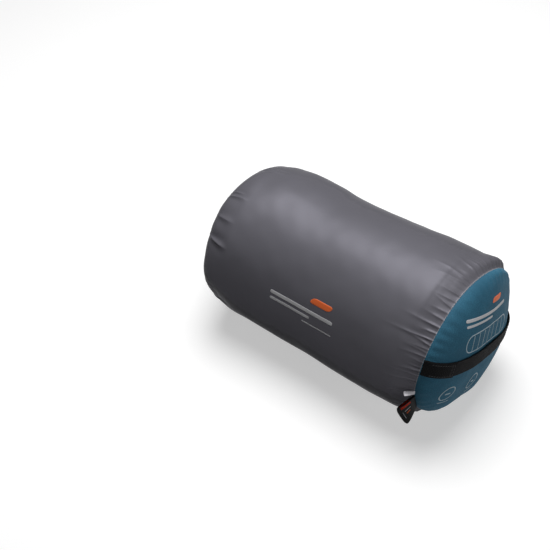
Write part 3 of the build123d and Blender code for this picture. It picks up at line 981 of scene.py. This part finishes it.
def on_panel(shape, s, n):
    """A shape laid on the panel at a place along the handle's line and square to it, in millimetres."""
    along, up = shape
    spot = (s * MM + along)[..., None] * HANDLE_OUT + (n * MM + up)[..., None] * -HANDLE_SIDE
    return panel_surface(spot[..., 1], spot[..., 2], INK_LIFT)


def ink_piece(name, material, *patches):
    """One thin printed film from several patches of points."""
    points, faces, first = [], [], 0
    for patch in patches:
        rows, cols = patch.shape[:2]
        i, j = np.meshgrid(np.arange(rows - 1), np.arange(cols - 1), indexing="ij")
        quads = np.stack([i * cols + j, (i + 1) * cols + j, (i + 1) * cols + j + 1, i * cols + j + 1], -1)
        points.append(patch.reshape(-1, 3))
        faces.append(quads.reshape(-1, 4) + first)
        first += rows * cols
    piece = new_piece(name, np.concatenate(points), np.concatenate(faces).tolist())
    # closes each ring where its line meets itself
    change_mesh(piece, lambda mesh: bmesh.ops.remove_doubles(mesh, verts=mesh.verts, dist=0.001 * MM))
    thicken(piece, INK_THICK, 0)
    dress(piece, material)


def make_prints():
    """Generic marks in three inks on the tube and on the panel."""
    ink_piece("tube_print_pale", PALE_INK, on_tube(bar(94 * MM, 4.6 * MM), -6 * MM, 162.5),
              on_tube(bar(60 * MM, 3.4 * MM), -22 * MM, 167.2),
              on_tube(bar(44 * MM, 1.6 * MM), 20 * MM, 172))
    ink_piece("tube_print_orange", ORANGE_INK, on_tube(bar(30 * MM, 8 * MM, 0.6), 20 * MM, 153.5))
    ink_piece("panel_print_pale", PALE_INK, on_panel(bar(92 * MM, 4.0 * MM), -14, 58),
              on_panel(bar(54 * MM, 3.0 * MM), -32, 51))
    ink_piece("panel_print_orange", ORANGE_INK, on_panel(bar(24 * MM, 6.5 * MM, 0.6), 4, 71))
    # a capsule with ribs, and two rings with a bar in each and one below
    lines = [on_panel(outline(98 * MM, 24 * MM, 1.3 * MM, 121), -6, 27)]
    upright = bar(21 * MM, 0.9 * MM)[::-1]
    lines += [on_panel(upright, -42 + 12 * rib, 27) for rib in range(7)]
    for s, mark in ((-58, 9), (-6, 6)):
        lines += [on_panel(outline(22 * MM, 22 * MM, 1.4 * MM, 61), s, -41),
                  on_panel(bar(mark * MM, 2 * MM), s, -41), on_panel(bar(18 * MM, 1.0 * MM), s + 4, -57)]
    ink_piece("panel_print_lines", PANEL_INK, *lines)


# ---------------------------------------------------------------- what is inside
def make_binding():
    """Bias tape folded over the raw edges of the end seam, slightly puckered by the gathers."""
    cols = 300
    turns = whole_turn(cols)
    low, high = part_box("seam_binding")
    outer = (high.z - low.z) / 2
    inner = outer - 5.2 * MM
    ways = [high.x + (low.x - high.x) * share for share in (0, 0.25, 0.5, 0.75)]
    fold = [(low.x + 0.3 * MM, outer - 0.2 * MM), (low.x, outer - 0.8 * MM),
            (low.x, inner + 0.8 * MM), (low.x + 0.3 * MM, inner + 0.2 * MM)]
    loop = [(x, outer) for x in ways] + fold + [(x, inner) for x in ways[::-1]]
    pucker = 0.25 * MM * np.sin(44 * turns + 2 * np.sin(3 * turns)) + seam_radius(turns) - SEAM_R
    rows = [round_axis(x - seam_pull(turns), r + pucker, turns) for x, r in loop]
    flat = cut_strip(np.linspace(0, 19 * MM, len(loop)), np.linspace(0, 2 * math.pi * outer, cols + 1))
    piece = grid_piece("folded_bias_tape", np.array(rows), flat, closed=True)
    thicken(piece, 0.5 * MM)
    dress(piece, BINDING, replaces=["seam_binding"])


def make_side_tape():
    """The tape over the raw edges of the lengthwise seam, which runs along the inside of the tube."""
    low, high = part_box("side_seam_tape")
    xs = np.arange(low.x, high.x, 1.5 * MM)
    turn = math.radians(SIDE_SEAM_TURN)
    spots = tube_surface(back_at(xs), turn)[::-1]
    sides = np.tile([0, -math.sin(turn), math.cos(turn)], (len(xs), 1))
    ups = np.tile([0, math.cos(turn), math.sin(turn)], (len(xs), 1))
    piece = swept_piece("side_seam_strip", spots, sides, ups, strip_section(9 * MM, 0.7 * MM, -1.7 * MM))
    dress(piece, BINDING, replaces=["side_seam_tape"])


def make_flap():
    """A round of lining that lies over the load behind the mouth, a little rumpled."""
    cols = 120
    low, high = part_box("dust_flap")
    reach = (high.z - low.z) / 2
    radii = np.linspace(0.6 * MM, reach, 40)
    r, t = radii[:, None], whole_turn(cols)[None]
    rumple = 0.5 * MM * np.sin(7 * t + 3 * np.sin(2 * t)) * (r / reach) ** 1.5
    behind = 2.6 * MM  # how far inside the crown it lies
    base = np.interp(r, OUT_R[::-1][:CROWN_ROWS], OUT_X[::-1][:CROWN_ROWS]) + behind
    base = np.where(r < NECK_R, OUT_X[-1] + behind, base)
    piece = grid_piece("mouth_flap", round_axis(base + rumple, r, t), cut_round(radii, cols), closed=True)
    piece.data.flip_normals()
    thicken(piece, 0.4 * MM)
    return dress(piece, LINING, replaces=["dust_flap"])


def make_roll():
    """The rolled sleeping bag: quilted cloth wound into a fat roll, a spiral at both ends."""
    rows, cols = 120, 220
    inset = 6 * MM  # how far inside the sack's cloth it lies
    shoulder = 8 * MM  # how much slimmer the roll is where it meets the panel
    back, turn = np.linspace(0.012, 0.97, rows)[:, None] * NECK_BACK, whole_turn(cols)[None]
    x, r, nx, nr = outline_at(back)
    channels = np.abs(np.sin(back * math.pi / (60 * MM))) ** 0.5
    sink = inset + 2 * MM * (1 - channels)
    sink = sink + 1.2 * MM * lumps(x, r * np.cos(turn), r * np.sin(turn), 40 * MM, 31)
    sink = sink + shoulder * (1 - soft_step(back, 12 * MM, 44 * MM))
    round_side = round_axis(x - nx * sink, r - nr * sink, turn)
    round_side[..., 2] = press_flat(round_side[..., 2] - inset) + inset
    front_r = np.linspace(round_side[0, 0, 1] * 0.985, 2 * MM, 60)[:, None]
    spiral = 1.6 * MM * np.abs(np.sin(front_r * math.pi / (17 * MM) + turn / 2)) ** 0.6
    front = round_axis(panel_x(front_r + shoulder) - inset - 4.5 * MM + spiral, front_r, turn)
    points = np.concatenate([front[::-1], round_side])
    flat = cut_strip(np.linspace(0, 0.5, len(points)), np.linspace(0, 0.6, cols + 1))
    piece = grid_piece("sleeping_bag_roll", points, flat, closed=True)
    last = len(points) * cols - 1
    close_over(piece, range(cols), range(last, last - cols, -1))
    return dress(piece, QUILT, replaces=["packed_roll"])


# ---------------------------------------------------------------- putting it together
tube = make_tube()
ruffle = make_ruffle()
panel = make_panel()
make_seam_stitches()
make_tube_stitches()
make_handle()
make_labels()
make_prints()
make_binding()
make_side_tape()
flap = make_flap()
roll = make_roll()
for node in ("cord_eyelet", "eyelet_washer"):
    metal_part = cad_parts[node]
    metal_part.data.materials.clear()
    metal_part.data.materials.append(METAL)


# ---------------------------------------------------------------- studio
WHITE = linear("#FFFFFF")


def seen_directly(tree):
    """1 where the eye, a gloss or a clear piece looks at a surface, 0 where it lights its surroundings."""
    path = add(tree, "LightPath")
    seen = path.outputs["Is Camera Ray"]
    for kind in ("Is Glossy Ray", "Is Transmission Ray"):
        seen = add(tree, "Math", {0: seen, 1: path.outputs[kind]}, operation="MAXIMUM").outputs[0]
    return seen


def make_floor():
    """A plain pale floor. It looks near white, gives little light back, and keeps the sack's shadow."""
    half = 4.0  # half its side, in metres
    corners = [(-half, -half, 0), (half, -half, 0), (half, half, 0), (-half, half, 0)]
    floor = new_piece("studio_floor", corners, [(0, 1, 2, 3)], smooth=False)
    made = bpy.data.materials.new("pale_studio_floor")
    tree = empty_tree(made)
    seen = seen_directly(tree)
    colour = add(tree, "Mix", {"Factor": seen, "A": linear("#3F3F40"), "B": linear("#CECECE")},
                 data_type="RGBA")
    surface = add(tree, "BsdfDiffuse", {"Color": colour.outputs["Result"]})
    pale = add(tree, "Emission", {"Color": WHITE, "Strength": 0.48})
    shown = add(tree, "MixShader", {0: seen, 2: pale.outputs[0]})
    both = add(tree, "AddShader", {0: surface.outputs[0], 1: shown.outputs[0]})
    add(tree, "OutputMaterial", {"Surface": both.outputs[0]})
    floor.data.materials.append(made)


def make_world():
    """White where it is seen directly, and next to no light of its own."""
    world = bpy.data.worlds.new("studio")
    bpy.context.scene.world = world
    tree = empty_tree(world)
    fill = add(tree, "Background", {"Color": WHITE, "Strength": 0.01})
    white = add(tree, "Background", {"Color": WHITE, "Strength": 1.0})
    mixed = add(tree, "MixShader", {0: seen_directly(tree), 1: fill.outputs[0], 2: white.outputs[0]})
    add(tree, "OutputWorld", {"Surface": mixed.outputs[0]})


def make_lamp(name, place, aim, size, power):
    """A round soft lamp, its size in metres and its power in watts."""
    lamp = bpy.data.lights.new(name, "AREA")
    lamp.shape, lamp.size, lamp.energy = "DISK", size, power
    made = bpy.data.objects.new(name, lamp)
    made.location = place
    made.rotation_euler = (Vector(aim) - Vector(place)).to_track_quat("-Z", "Y").to_euler()
    bpy.context.scene.collection.objects.link(made)


def make_camera():
    """A long lens that looks down on the sack at 45 degrees, from 37 degrees round towards the panel."""
    camera = bpy.data.cameras.new("camera")
    camera.sensor_width, camera.lens = 36, 81.1
    camera.clip_start, camera.clip_end = 0.05, 30
    made = bpy.data.objects.new("camera", camera)
    made.location = (0.595, -0.9467, 1.2074)
    made.rotation_euler = (math.radians(45.5), 0, math.radians(37))
    bpy.context.scene.collection.objects.link(made)
    bpy.context.scene.camera = made


make_floor()
make_world()
make_lamp("overhead_softbox", (-0.2, 0.24, 1.5), aim=(0, 0, 0.1), size=1.2, power=27.5)
make_lamp("end_fill", (1.45, -0.35, 0.45), aim=(0.15, 0, 0.1), size=0.8, power=5.0)
make_camera()
bpy.context.scene.view_settings.view_transform = "Standard"
